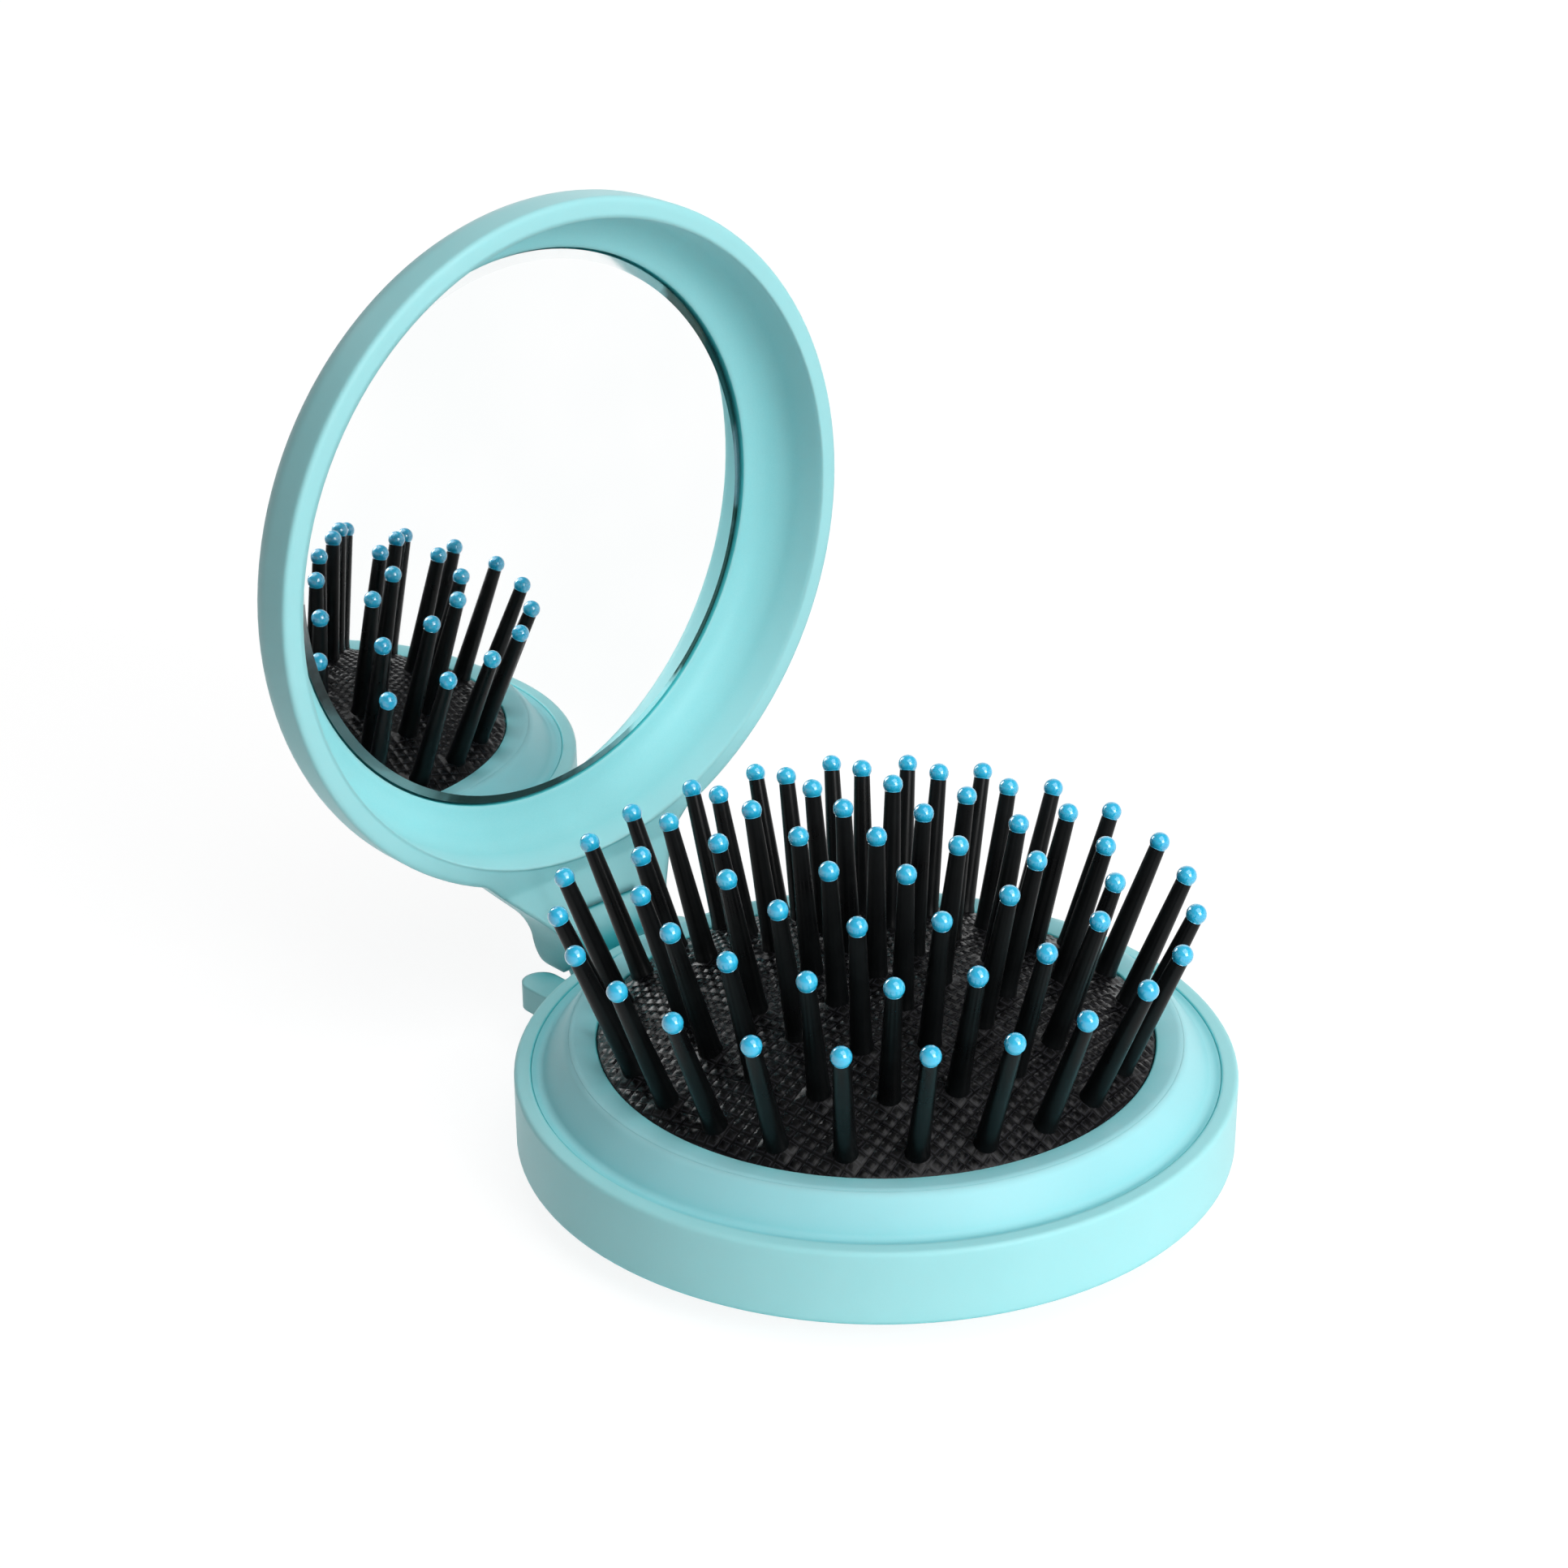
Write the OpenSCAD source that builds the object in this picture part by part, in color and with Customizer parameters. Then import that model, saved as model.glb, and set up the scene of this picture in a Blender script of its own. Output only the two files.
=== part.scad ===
// Folding pocket hairbrush: round case, pop-up bristle head and hinged mirror lid.
// Millimetres. Origin: centre of the case, on the plane it stands on. The hinge is at +Y, its pin along X.
// The lid stands upright and the bristle head is up, as when the brush is in use.

/* [Case] */
// Outer radius of the case
case_r = 34; // [32:0.5:40]
// Height of the outer wall, from its lower edge to the rim
case_wall_h = 7.34; // [7:0.1:10]
// Thickness of the outer wall
case_wall_t = 1; // [0.8:0.1:1.2]
// Width of the flat rim on top of the wall
case_rim_w = 1.6; // [1.4:0.1:2]
// Height of the inner lip under the rim
case_lip_h = 1.4; // [1:0.1:1.6]
// Width of the flat standing foot
foot_w = 1.4; // [1:0.1:1.6]
// How far the foot stands below the wall's lower edge
foot_drop = 3; // [2.8:0.1:3.4]
// Thickness of the conical floor
floor_t = 1.25; // [1:0.05:1.3]
// How far the floor's edge is let into the wall
floor_seat = 0.3; // [0.2:0.05:0.4]

/* [Head ring] */
// Width of the sloping shoulder, from its foot to its crest
shoulder_w = 2.9; // [2.7:0.1:3.4]
// Width of the groove between the case rim and the head ring
groove_w = 0.7; // [0.5:0.1:1]
// How far the shoulder starts below the case rim
shoulder_drop = 0.76; // [0.5:0.02:0.9]
// How far the crest stands above the case rim
crest_h = 3.05; // [2.5:0.05:4]
// How far the head ring is pushed down into the case when the lid is shut
head_travel = 3.4; // [3:0.1:3.4]
// Height of the flange that stops the head ring under the case lip
head_flange_h = 1.2; // [1:0.1:1.2]
// Wall of the skirt that guides the cushion carrier
skirt_t = 1.2; // [1:0.1:1.5]
// Width of the flat land on the crest
crest_land = 0.25; // [0.15:0.05:0.4]

/* [Cushion carrier] */
// Width of the bevel around the opening
bevel_w = 2.4; // [2.2:0.1:3]
// How far the bevel falls towards the opening
bevel_drop = 0.32; // [0.2:0.02:0.5]
// Thickness of the bevel's inner edge
bevel_t = 0.85; // [0.6:0.05:1]
// How far the carrier sinks in the head ring when the lid is shut
carrier_travel = 4.4; // [4:0.1:4.4]
// Width of the stop flange around the carrier
carrier_flange_w = 0.7; // [0.5:0.1:0.9]
// Height of the stop flange around the carrier
carrier_flange_h = 1.1; // [0.9:0.1:1.2]
// Width of the ledge that clamps the cushion's edge
clamp_w = 1.1; // [0.9:0.05:1.2]
// How much narrower the tray is than the cushion's opening
tray_inset = 0.3; // [0.2:0.05:0.4]
// Thickness of the tray's side wall
tray_wall_t = 0.5; // [0.4:0.05:0.55]
// Thickness of the tray's floor and of the push button in it
tray_floor_t = 1.2; // [1:0.05:1.2]
// Thickness of the flange around the tray
tray_flange_t = 1; // [0.8:0.1:1.2]
// Width of the tray's floor around the push button
button_inset = 5.3; // [3.5:0.1:12]
// Width of the flange that keeps the button in the tray
button_flange_w = 1; // [0.8:0.1:1.4]
// Depth of the thumb dish in the push button
button_dish = 0.4; // [0.2:0.05:0.5]

/* [Cushion] */
// Radius of the cushion's spherical crown
crown_r = 60; // [55:1:75]
// Thickness of the rubber
cushion_t = 1.4; // [1.2:0.05:1.6]
// Thickness of the clamped flange around the rubber
cushion_flange_t = 0.8; // [0.6:0.05:1]

/* [Bristles] */
// Distance of the outermost ring from the edge of the opening
ring_margin = 2.2; // [2.1:0.05:2.6]
// Turn of the whole pattern
pattern_turn = 9.3; // [0:0.1:59]
// Length of a bristle from the cushion's surface to the middle of its ball
bristle_len = 14.1; // [12:0.1:14.2]
// Depth of the bristle's root in the rubber
root_depth = 0.8; // [0.5:0.05:0.8]
// Radius of the bristle at its root
root_r = 1.1; // [0.9:0.05:1.1]
// Radius of the bristle under its ball
shaft_r = 0.78; // [0.6:0.02:0.9]
// Radius of the ball tip
ball_r = 1; // [0.9:0.05:1.2]

/* [Lid] */
// How far the shut lid overhangs the case
lid_overhang = 0.8; // [0:0.1:1.5]
// Width of the lid's flat rim
lid_rim_w = 2.05; // [1.8:0.05:2.2]
// Length of the straight part of the lid's outer wall
lid_wall_h = 3.1; // [2.6:0.1:3.4]
// Rounding between the lid's wall and its back
lid_round_r = 3.6; // [3:0.1:4]
// Slope of the lid's back beside its wall, in degrees from the rim plane
lid_slope = 41.5; // [39:0.5:43]
// Depth of the lid from its rim to its flat back
lid_depth = 11.6; // [11.4:0.1:12]
// Rounding at the edge of the flat back
lid_back_round_r = 12; // [10:0.5:14]
// Radius of the cove between the lid's inner wall and the mirror
cove_r = 4; // [3.6:0.1:4.2]
// Draft of the lid's inner wall
lid_draft = 0.26; // [0.1:0.02:0.4]
// Rounding of the outer edges of case and lid
edge_r = 0.4; // [0.2:0.05:0.5]
// Bevel that breaks an inner edge
break_w = 0.1; // [0.05:0.05:0.15]

/* [Mirror] */
// Gap around the glass in its seat
mirror_gap = 0.29; // [0.1:0.01:0.35]
// Depth of the mirror's face below the lid's rim
mirror_depth = 7.4; // [7.3:0.05:7.6]
// How far the seat's edge stands proud of the glass
mirror_lip = 0.09; // [0.05:0.01:0.2]
// Thickness of the glass
mirror_t = 1.3; // [1:0.1:1.3]
// Thickness of the adhesive disc behind the glass
adhesive_t = 0.3; // [0.2:0.05:0.35]
// How much smaller the adhesive disc is than the glass
adhesive_inset = 3.2; // [1:0.1:8]

/* [Hinge] */
// Distance of the pin beyond the case wall
hinge_reach = 6.3; // [6:0.1:7]
// How far the lid's rim plane stands behind the pin
lid_offset = 1.3; // [1.1:0.05:1.5]
// Gap between the lid's rim and the case rim when shut
shut_gap = 0.16; // [0.1:0.02:0.3]
// Radius of the knuckles around the pin
knuckle_r = 3.2; // [3:0.05:3.3]
// Radius of the hinge pin
pin_r = 1; // [0.8:0.05:1.2]
// Running clearance around the pin
pin_gap = 0.05; // [0.02:0.01:0.1]
// Half width of the case's middle knuckle
tongue_half_w = 3.6; // [3:0.1:4]
// Half width of the lid's fork at the pin
fork_half_w = 6.2; // [6:0.1:6.8]
// How far the fork runs up into the lid
fork_root = 5; // [4:0.5:6]
// Rounding of the fork's lower corners
fork_round_r = 0.8; // [0.5:0.1:1.5]
// Radius of the fillet between the fork's sides and its flare
flare_r = 5.5; // [4:0.1:6]
// Lean of the flare that widens the fork into the lid, in degrees
flare_lean = 45; // [40:1:50]
// How far the pin's ends lie inside the fork's sides
pin_recess = 0.8; // [0.6:0.1:1]
// Gap between the fork and a guard lug
lug_gap = 0.8; // [0.75:0.05:1]
// Radius of a guard lug's round end
lug_r = 1.95; // [1.8:0.05:2.3]
// How far the middle of the round end lies before the pin
lug_setback = 1.4; // [1:0.1:2]
// Height of each guard lug
lug_h = 2.7; // [2.4:0.1:2.8]
// How far the guard lugs start above the wall's lower edge
lug_lift = 0.7; // [0.5:0.1:0.7]

/* [Clearances] */
// Gap around pieces that slide in each other
slide_gap = 0.2; // [0.15:0.05:0.25]
// Gap at a stop, and under a piece at the end of its travel
stop_gap = 0.3; // [0.2:0.05:0.35]
// Gap beside the hinge's knuckles
side_gap = 0.3; // [0.2:0.05:0.4]
// Gap around pieces that are fixed in one another
fit_gap = 0.03; // [0.02:0.01:0.05]

/* [Hidden] */
$fn = 96;
eps = 0.01;
over = 1;

// Rings around the centre bristle, each with its own nodes
rings = 4;

// Heights of the case
rim_z = foot_drop + case_wall_h;
lip_z = rim_z - case_lip_h;
bore_r = case_r - case_wall_t;
rim_in_r = case_r - case_rim_w;
shoulder_r = rim_in_r - groove_w;
head_bore_r = shoulder_r - shoulder_w;
bezel_r = head_bore_r - slide_gap;
opening_r = bezel_r - bevel_w;
tray_r = opening_r - tray_inset;
foot_in_r = tray_r + stop_gap;
foot_r = foot_in_r + foot_w;
seat_r = bore_r + floor_seat;
floor_slope = foot_drop / (case_r - foot_r);
function under_z(r) = foot_drop - floor_slope * (case_r - max(r, foot_r));
function floor_z(r) = under_z(r) + floor_t;

// Cushion carrier: bezel, tray and button share one travel
crest_z = rim_z + crest_h;
opening_z = crest_z - bevel_drop;
flange_out_r = bezel_r + carrier_flange_w;
total_travel = head_travel + carrier_travel;
carrier_z = floor_z(flange_out_r) + total_travel + stop_gap;
clamp_r = opening_r + clamp_w;
clamp_z = opening_z - bevel_t;
cushion_z = clamp_z - cushion_flange_t;
tray_in_r = tray_r - tray_wall_t;
tray_z = total_travel + stop_gap;
tray_top_z = tray_z + tray_floor_t;
button_r = tray_in_r - button_inset;

// Head ring
guide_r = flange_out_r + slide_gap;
skirt_r = guide_r + skirt_t;
skirt_z = floor_z(skirt_r) + head_travel + stop_gap;
carrier_stop_z = carrier_z + carrier_flange_h + stop_gap;
shoulder_z = rim_z - shoulder_drop;
head_flange_r = bore_r - slide_gap;
head_flange_top = lip_z - stop_gap;

// Cushion crown
ring_step = (opening_r - ring_margin) / rings;
crown_z = opening_z - sqrt(crown_r * crown_r - opening_r * opening_r);
ball_flat = sqrt(ball_r * ball_r - shaft_r * shaft_r);

// Hinge and lid
lid_r = case_r + lid_overhang;
hinge_y = case_r + hinge_reach;
hinge_z = rim_z + shut_gap - lid_offset;
lid_y = hinge_y + lid_offset;
lid_z = hinge_z + hinge_y;
lid_in_r = lid_r - lid_rim_w;
slot_half_w = tongue_half_w + side_gap;
seat_hole_r = lid_in_r - lid_draft - cove_r;
mirror_r = seat_hole_r - mirror_gap;
adhesive_r = mirror_r - adhesive_inset;
pin_half_w = fork_half_w - pin_recess;
seat_z = mirror_depth - mirror_lip;
back_z = mirror_depth + mirror_t + adhesive_t;

teal = "#9fdfe2";
teal_light = "#a8e4e8";
black = "#17181b";
blue = "#35b4e8";
steel = "#c8ccd0";
silver = "#e8eef2";
foam = "#d8d8d0";

// A round edge that takes the place of a square corner at [x, y], with its centre towards the signs
function corner(x, y, sx, sy, r, from, to, n = 6) =
  [for (i = [0 : n]) let (a = from + (to - from) * i / n) [x + sx * r + r * cos(a), y + sy * r + r * sin(a)]];

// Puts a side outline, drawn in Y and Z, across the middle of the hinge
module across(half_w) {
  rotate([90, 0, 90]) linear_extrude(2 * half_w, center = true) children();
}

// Places what is drawn around the lid's own axis, from its rim backwards
module on_lid() {
  translate([0, lid_y, lid_z]) rotate([-90, 0, 0]) children();
}

// The bore is blind on the -X side, so that the pin goes in from +X
module pin_bore(r) {
  translate([-pin_half_w - fit_gap, hinge_y, hinge_z]) rotate([0, 90, 0])
    cylinder(r = r, h = 2 * fork_half_w + over);
}

// Middle knuckle of the hinge, with its low arm to the case wall
module tongue() {
  arm_z = foot_drop + edge_r / 2;
  arm_top = hinge_z - knuckle_r + stop_gap;
  heel = 20;
  crook = 50;
  toe = 0.3;
  across(tongue_half_w) {
    translate([hinge_y, hinge_z]) circle(knuckle_r);
    polygon([
      [bore_r, arm_z], [hinge_y - toe, arm_z],
      [hinge_y + knuckle_r * cos(heel), hinge_z - knuckle_r * sin(heel)], [hinge_y, hinge_z],
      [hinge_y - knuckle_r * cos(crook), arm_top], [bore_r, arm_top]
    ]);
  }
}

// Low lug with a round end beside the lid's fork
module guard_lug(side) {
  lug_x = fork_half_w + lug_gap + lug_r;
  root_y = sqrt(bore_r * bore_r - pow(lug_x + lug_r, 2));
  end_y = hinge_y - lug_setback;
  translate([side * lug_x, 0, foot_drop + lug_lift]) linear_extrude(lug_h) {
    translate([0, end_y]) circle(lug_r);
    translate([-lug_r, root_y]) square([2 * lug_r, end_y - root_y]);
  }
}

module case_ring() {
  outline = concat(
    [[bore_r, floor_z(bore_r)], [seat_r, floor_z(bore_r)], [seat_r, under_z(seat_r)]],
    corner(case_r, foot_drop, -1, 1, edge_r, -60, 0),
    corner(case_r, rim_z, -1, -1, edge_r, 0, 90),
    corner(rim_in_r, rim_z, 1, -1, edge_r / 2, 90, 180),
    [[rim_in_r, lip_z], [bore_r, lip_z]]
  );
  color(teal) difference() {
    union() {
      rotate_extrude() polygon(outline);
      difference() {
        union() {
          tongue();
          guard_lug(1);
          guard_lug(-1);
        }
        cylinder(r = bore_r + case_wall_t / 2, h = 2 * hinge_z);
      }
    }
    pin_bore(pin_r + pin_gap);
  }
}

module case_floor() {
  color(teal) rotate_extrude() polygon([
    [foot_in_r, 0], [foot_r, 0], [seat_r - fit_gap, under_z(seat_r - fit_gap)],
    [seat_r - fit_gap, floor_z(bore_r)],
    [bore_r, floor_z(bore_r)], [foot_r, floor_z(foot_r)], [foot_in_r, floor_z(foot_r)]
  ]);
}

module head_ring() {
  color(teal) rotate_extrude() polygon(concat(
    [[guide_r, skirt_z], [skirt_r, skirt_z], [skirt_r, head_flange_top - head_flange_h],
      [head_flange_r, head_flange_top - head_flange_h], [head_flange_r, head_flange_top],
      [shoulder_r, head_flange_top], [shoulder_r, shoulder_z]],
    [[head_bore_r + crest_land, crest_z], [head_bore_r, crest_z - break_w],
      [head_bore_r, carrier_stop_z], [guide_r, carrier_stop_z]]
  ));
}

module cushion_bezel() {
  flange_top_z = carrier_z + carrier_flange_h;
  color(teal) rotate_extrude() polygon([
    [opening_r, clamp_z], [opening_r, opening_z], [bezel_r - break_w, crest_z],
    [bezel_r, crest_z - break_w],
    [bezel_r, flange_top_z], [flange_out_r, flange_top_z], [flange_out_r, carrier_z], [clamp_r, carrier_z],
    [clamp_r, clamp_z]
  ]);
}

// Everything that repeats around the crown: the centre for ring 0, and six more for each ring outwards
module around_ring(ring) {
  count = max(1, 6 * ring);
  tilt = asin(ring * ring_step / crown_r);
  for (i = [0 : count - 1])
    rotate([0, 0, pattern_turn + i * 360 / count]) translate([0, 0, crown_z])
      rotate([0, tilt, 0]) translate([0, 0, crown_r]) children();
}

module shaft(gap = 0) {
  top = bristle_len - ball_flat;
  translate([0, 0, -root_depth]) cylinder(r1 = root_r + gap, r2 = shaft_r + gap, h = top + root_depth);
}

module ball_tip() {
  translate([0, 0, bristle_len]) difference() {
    sphere(ball_r);
    translate([0, 0, -ball_flat - ball_r]) cube(2 * ball_r, center = true);
  }
}

module cushion() {
  rubber_r = opening_r - fit_gap;
  rubber_in_r = tray_in_r - stop_gap;
  color(black) difference() {
    union() {
      intersection() {
        translate([0, 0, crown_z]) difference() {
          sphere(crown_r);
          sphere(crown_r - cushion_t);
        }
        translate([0, 0, cushion_z]) cylinder(r = rubber_r, h = crown_r);
      }
      translate([0, 0, cushion_z]) difference() {
        union() {
          cylinder(r = clamp_r - fit_gap, h = cushion_flange_t);
          cylinder(r = rubber_r, h = opening_z - cushion_z - bevel_t / 4);
        }
        translate([0, 0, -over]) cylinder(r = rubber_in_r, h = crown_r);
      }
    }
    for (ring = [0 : rings]) around_ring(ring) {
      shaft(fit_gap);
      translate([0, 0, -cushion_t - over])
        cylinder(r = root_r + fit_gap, h = over + cushion_t - root_depth + eps);
    }
  }
}

module cushion_tray() {
  flange_z = cushion_z - tray_flange_t;
  color(teal) difference() {
    union() {
      translate([0, 0, tray_z]) cylinder(r = tray_r, h = cushion_z - tray_z);
      translate([0, 0, flange_z]) cylinder(r = clamp_r - fit_gap, h = tray_flange_t);
    }
    translate([0, 0, tray_top_z]) cylinder(r = tray_in_r, h = cushion_z);
    translate([0, 0, tray_z - over]) cylinder(r = button_r + slide_gap, h = cushion_z);
    translate([0, 0, tray_z + tray_floor_t / 2])
      cylinder(r = button_r + button_flange_w + slide_gap, h = cushion_z);
  }
}

module push_button() {
  dish_r = (button_r * button_r / 2 + button_dish * button_dish) / (2 * button_dish);
  color(teal_light) difference() {
    union() {
      translate([0, 0, tray_z]) cylinder(r = button_r, h = tray_floor_t);
      translate([0, 0, tray_z + tray_floor_t / 2])
        cylinder(r = button_r + button_flange_w, h = tray_floor_t / 2);
    }
    translate([0, 0, tray_z + button_dish - dish_r]) sphere(dish_r, $fn = 180);
  }
}

module bristles(ring) {
  color(black) around_ring(ring) shaft();
}

module ball_tips(ring) {
  color(blue) around_ring(ring) ball_tip();
}

module hinge_pin() {
  color(steel) translate([0, hinge_y, hinge_z]) rotate([0, 90, 0])
    cylinder(r = pin_r, h = 2 * pin_half_w, center = true);
}

// Outside of the lid, in radius and depth: straight wall, rounding, sloping cone and flat back
module lid_outline() {
  wall_c = [lid_r - lid_round_r, lid_wall_h];
  cone_p = wall_c + lid_round_r * [sin(lid_slope), cos(lid_slope)];
  back_c = [cone_p[0] - (lid_depth - cone_p[1] - lid_back_round_r * (1 - cos(lid_slope))) / tan(lid_slope)
    - lid_back_round_r * sin(lid_slope), lid_depth - lid_back_round_r];
  cone_q = back_c + lid_back_round_r * [sin(lid_slope), cos(lid_slope)];
  polygon(concat([[0, 0]], corner(lid_r, 0, -1, 1, edge_r, -90, 0), [[lid_r, lid_wall_h], [0, lid_wall_h]]));
  translate(wall_c) circle(lid_round_r);
  polygon([[0, lid_wall_h - eps], wall_c - [0, eps], cone_p, cone_q, [back_c[0], lid_depth], [0, lid_depth]]);
  intersection() {
    translate(back_c) circle(lid_back_round_r, $fn = 180);
    translate([back_c[0], lid_wall_h]) square([lid_r, lid_depth]);
  }
}

// Hollow of the lid: drafted wall, cove and mirror seat
module lid_hollow() {
  cove_c = [seat_hole_r, seat_z - cove_r];
  polygon([[0, -over], [lid_in_r + lid_draft, -over], [lid_in_r, 0],
    [seat_hole_r + cove_r, cove_c[1]], [seat_hole_r, cove_c[1] + eps], [0, cove_c[1] + eps]]);
  intersection() {
    translate(cove_c) circle(cove_r);
    translate([0, cove_c[1]]) square([lid_r, cove_r + eps]);
  }
  square([seat_hole_r, back_z]);
}

// Right half of the fork seen from the front: rounded corner, side, fillet and leaning flare up to the lid
function fork_half(top) =
  let (cheek_h = -1, cheek = corner(fork_half_w, cheek_h, 1, 0, flare_r, 180, 180 - flare_lean),
    last = cheek[len(cheek) - 1], rise = top - last[1])
  concat([[0, -knuckle_r]], corner(fork_half_w, -knuckle_r, -1, 1, fork_round_r, -90, 0), cheek,
    [[last[0] + rise * tan(flare_lean), top], [0, top]]);

// Fork that carries the lid on the pin, as one side outline met by one front outline
module fork() {
  reach = lid_z - hinge_z - lid_r;
  rim_y = lid_offset;
  wall_y = lid_offset + lid_wall_h;
  top = reach + fork_root;
  brow = 150;
  chin = 0.7;
  intersection() {
    across(lid_r) translate([hinge_y, hinge_z]) {
      circle(knuckle_r);
      polygon([[knuckle_r * cos(brow), knuckle_r * sin(brow)], [rim_y, reach + chin], [rim_y, top],
        [wall_y, top], [wall_y, reach], [knuckle_r, 0]]);
    }
    translate([0, hinge_y + lid_depth, hinge_z]) rotate([90, 0, 0]) linear_extrude(2 * lid_depth) {
      polygon(fork_half(top));
      mirror([1, 0]) polygon(fork_half(top));
    }
  }
}

module lid_shell() {
  color(teal) difference() {
    union() {
      on_lid() rotate_extrude() lid_outline();
      fork();
    }
    on_lid() rotate_extrude() lid_hollow();
    translate([0, hinge_y, hinge_z]) rotate([0, 90, 0])
      cylinder(r = knuckle_r + side_gap, h = 2 * slot_half_w, center = true);
    pin_bore(pin_r + pin_gap);
  }
}

module mirror_glass() {
  color(silver) on_lid() translate([0, 0, mirror_depth]) cylinder(r = mirror_r, h = mirror_t);
}

module mirror_adhesive() {
  color(foam) on_lid() translate([0, 0, mirror_depth + mirror_t]) cylinder(r = adhesive_r, h = adhesive_t);
}

case_ring();
case_floor();
head_ring();
cushion_bezel();
cushion();
cushion_tray();
push_button();
bristles(0);  // bristle_centre
bristles(1);  // bristles_ring_1
bristles(2);  // bristles_ring_2
bristles(3);  // bristles_ring_3
bristles(4);  // bristles_ring_4
ball_tips(0);  // ball_tip_centre
ball_tips(1);  // ball_tips_ring_1
ball_tips(2);  // ball_tips_ring_2
ball_tips(3);  // ball_tips_ring_3
ball_tips(4);  // ball_tips_ring_4
hinge_pin();
lid_shell();
mirror_glass();
mirror_adhesive();
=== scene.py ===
import math
import bmesh
import bpy
import numpy as np
from mathutils import Matrix, Vector


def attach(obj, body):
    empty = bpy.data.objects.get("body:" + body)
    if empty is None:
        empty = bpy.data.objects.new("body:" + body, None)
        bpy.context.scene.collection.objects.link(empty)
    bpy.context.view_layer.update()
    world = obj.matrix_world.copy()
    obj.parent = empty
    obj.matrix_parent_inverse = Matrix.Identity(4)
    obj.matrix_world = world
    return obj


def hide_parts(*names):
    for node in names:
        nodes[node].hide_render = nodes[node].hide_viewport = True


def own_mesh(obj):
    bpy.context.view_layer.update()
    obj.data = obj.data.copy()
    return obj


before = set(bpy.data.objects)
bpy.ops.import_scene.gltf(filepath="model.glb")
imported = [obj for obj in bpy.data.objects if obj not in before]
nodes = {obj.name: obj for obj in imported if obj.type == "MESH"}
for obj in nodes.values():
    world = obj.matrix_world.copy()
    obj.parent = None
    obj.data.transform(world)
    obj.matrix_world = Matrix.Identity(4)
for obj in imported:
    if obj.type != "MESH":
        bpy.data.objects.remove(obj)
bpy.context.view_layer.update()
mm = 0.001
mergeDistance = 1e-7   # metres, under which two points are one
scene = bpy.context.scene


# sRGB "#rrggbb" to the linear colour that a shader takes
def linear(hexColour):
    c = np.array([int(hexColour[i:i + 2], 16) for i in (1, 3, 5)]) / 255
    c = np.where(c <= 0.04045, c / 12.92, ((c + 0.055) / 1.055) ** 2.4)
    return (*[float(x) for x in c], 1.0)


def grey(value):
    return (value, value, value, 1.0)


# one node with its settings; a socket takes a number, a colour, an output, or a node for its first output,
# and stops are the places and colours of a colour ramp
def addNode(tree, kind, sockets=None, stops=(), **settings):
    node = tree.nodes.new("ShaderNode" + kind)
    for name, value in settings.items():
        setattr(node, name, value)
    for name, value in (sockets or {}).items():
        if isinstance(value, bpy.types.Node):
            value = value.outputs[0]
        if isinstance(value, bpy.types.NodeSocket):
            tree.links.new(value, node.inputs[name])
        else:
            node.inputs[name].default_value = value
    if stops:
        band = node.color_ramp.elements
        while len(band) < len(stops):
            band.new(0.5)
        for element, (place, colour) in zip(band, stops):
            element.position = place
            element.color = linear(colour)
    return node


# an empty material, its tree, and the object's own coordinates in it
def newMaterial(name):
    material = bpy.data.materials.new(name)
    material.use_nodes = True
    tree = material.node_tree
    tree.nodes.clear()
    return material, tree, addNode(tree, "TexCoord").outputs["Object"]


def dressNode(name, material):
    nodes[name].data.materials.clear()
    nodes[name].data.materials.append(material)


# quads of a grid of rows x columns points, closed round the columns when wrapped
def gridQuads(rows, columns, wrapped):
    i, j = np.meshgrid(np.arange(rows - 1), np.arange(columns if wrapped else columns - 1), indexing="ij")
    nextJ = (j + 1) % columns
    return np.stack([i * columns + j, i * columns + nextJ, (i + 1) * columns + nextJ,
                     (i + 1) * columns + j], axis=-1).reshape(-1, 4)


# points in metres and quads to an object; doubled points are merged and faces turned outwards, and an edge
# stays sharp where its faces meet at more than so many degrees
def makePiece(name, points, quads, sharpDegrees=40, bands=None):
    mesh = bpy.data.meshes.new(name)
    mesh.from_pydata(points.reshape(-1, 3).tolist(), [], quads.tolist())
    if bands is not None:
        mesh.polygons.foreach_set("material_index", bands.astype(np.int32))
    work = bmesh.new()
    work.from_mesh(mesh)
    bmesh.ops.remove_doubles(work, verts=work.verts, dist=mergeDistance)
    bmesh.ops.recalc_face_normals(work, faces=work.faces)
    work.to_mesh(mesh)
    work.free()
    mesh.polygons.foreach_set("use_smooth", np.ones(len(mesh.polygons), dtype=bool))
    mesh.set_sharp_from_angle(angle=math.radians(sharpDegrees))
    piece = bpy.data.objects.new(name, mesh)
    scene.collection.objects.link(piece)
    return piece


# a profile of (radius, height) turned about axes, with u and v across each axis:
# P = centre + height * axis + radius * (cos a * u + sin a * v)
def turned(profile, centres, axes, segments):
    profile, centres, axes = np.asarray(profile, float), np.atleast_2d(centres), np.atleast_2d(axes)
    helper = np.where(np.abs(axes[:, :1]) < 0.9, [[1.0, 0, 0]], [[0, 1.0, 0]])
    u = np.cross(axes, helper)
    u /= np.linalg.norm(u, axis=1, keepdims=True)
    v = np.cross(axes, u)
    a = np.arange(segments) * 2 * math.pi / segments
    ring = np.cos(a)[:, None] * u[:, None, None, :] + np.sin(a)[:, None] * v[:, None, None, :]
    points = (centres[:, None, None, :] + profile[None, :, 1, None, None] * axes[:, None, None, :]
              + profile[None, :, 0, None, None] * ring)
    one = gridQuads(len(profile), segments, True)
    step = len(profile) * segments
    quads = (one[None] + (np.arange(len(centres)) * step)[:, None, None]).reshape(-1, 4)
    return points, quads


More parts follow.
